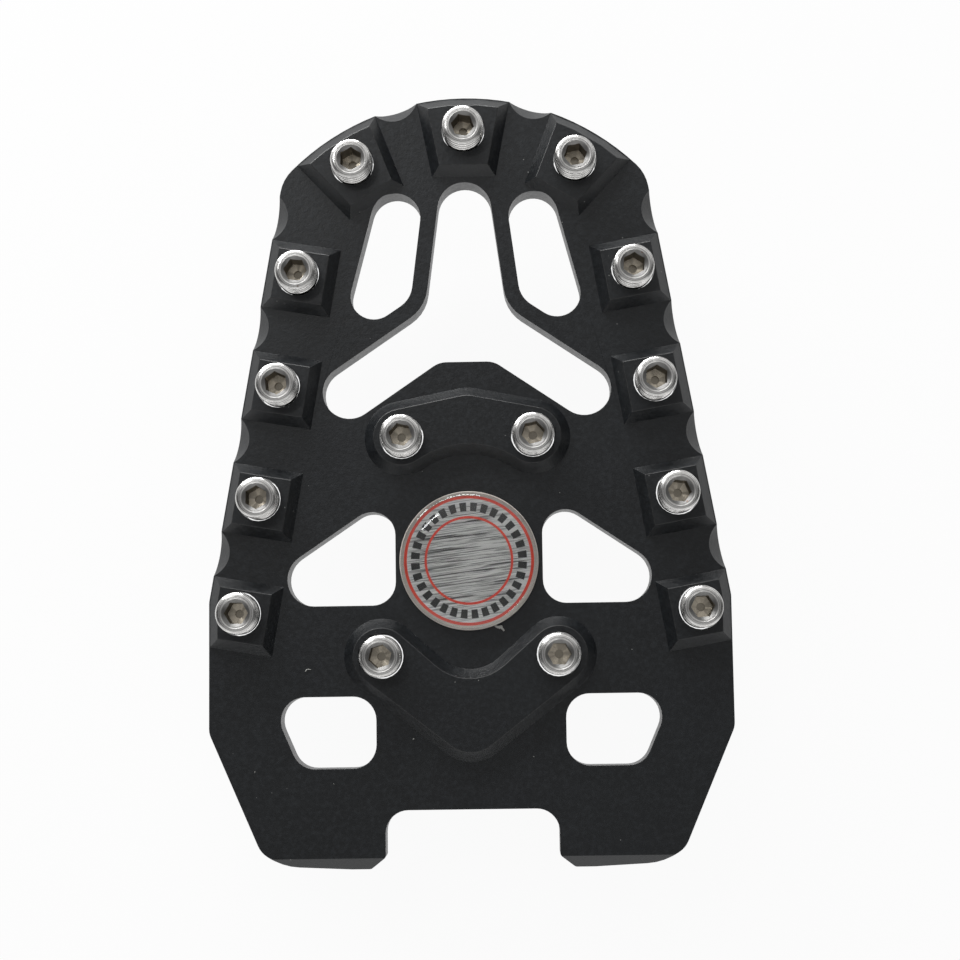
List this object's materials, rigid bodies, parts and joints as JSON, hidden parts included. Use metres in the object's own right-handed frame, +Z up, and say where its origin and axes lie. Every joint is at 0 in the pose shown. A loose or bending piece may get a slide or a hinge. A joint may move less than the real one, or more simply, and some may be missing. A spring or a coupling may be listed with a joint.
{
  "type": "motorcycle foot peg",
  "caption": "Wide flat foot peg with scalloped rim, drafted pads and ribs that carry threaded grip studs, windows through the plate, and a cross-bored pivot lug underneath.",
  "frame": {"origin": "middle of the pivot bore in the lug under the plate", "axes": "+X along the pivot bore, +Y out along the peg to its rounded tip, +Z up out of the tread"},
  "size_m": [0.0758, 0.1132, 0.0215],
  "materials": {
    "plate": "satin black anodised, finely bead blasted",
    "studs": "bright plated steel",
    "label": "brushed, with two thin red rings",
    "dome": "clear polished resin"
  },
  "bodies": {
    "root": {"peg_plate": "plate", "stud_tip": "studs", "stud_head_left": "studs", "stud_head_right": "studs", "stud_row_1_left": "studs", "stud_row_1_right": "studs", "stud_row_2_left": "studs", "stud_row_2_right": "studs", "stud_row_3_left": "studs", "stud_row_3_right": "studs", "stud_row_4_left": "studs", "stud_row_4_right": "studs", "stud_upper_left": "studs", "stud_upper_right": "studs", "stud_lower_left": "studs", "stud_lower_right": "studs", "badge_label": "label", "badge_dome": "dome"}
  },
  "joints": []
}
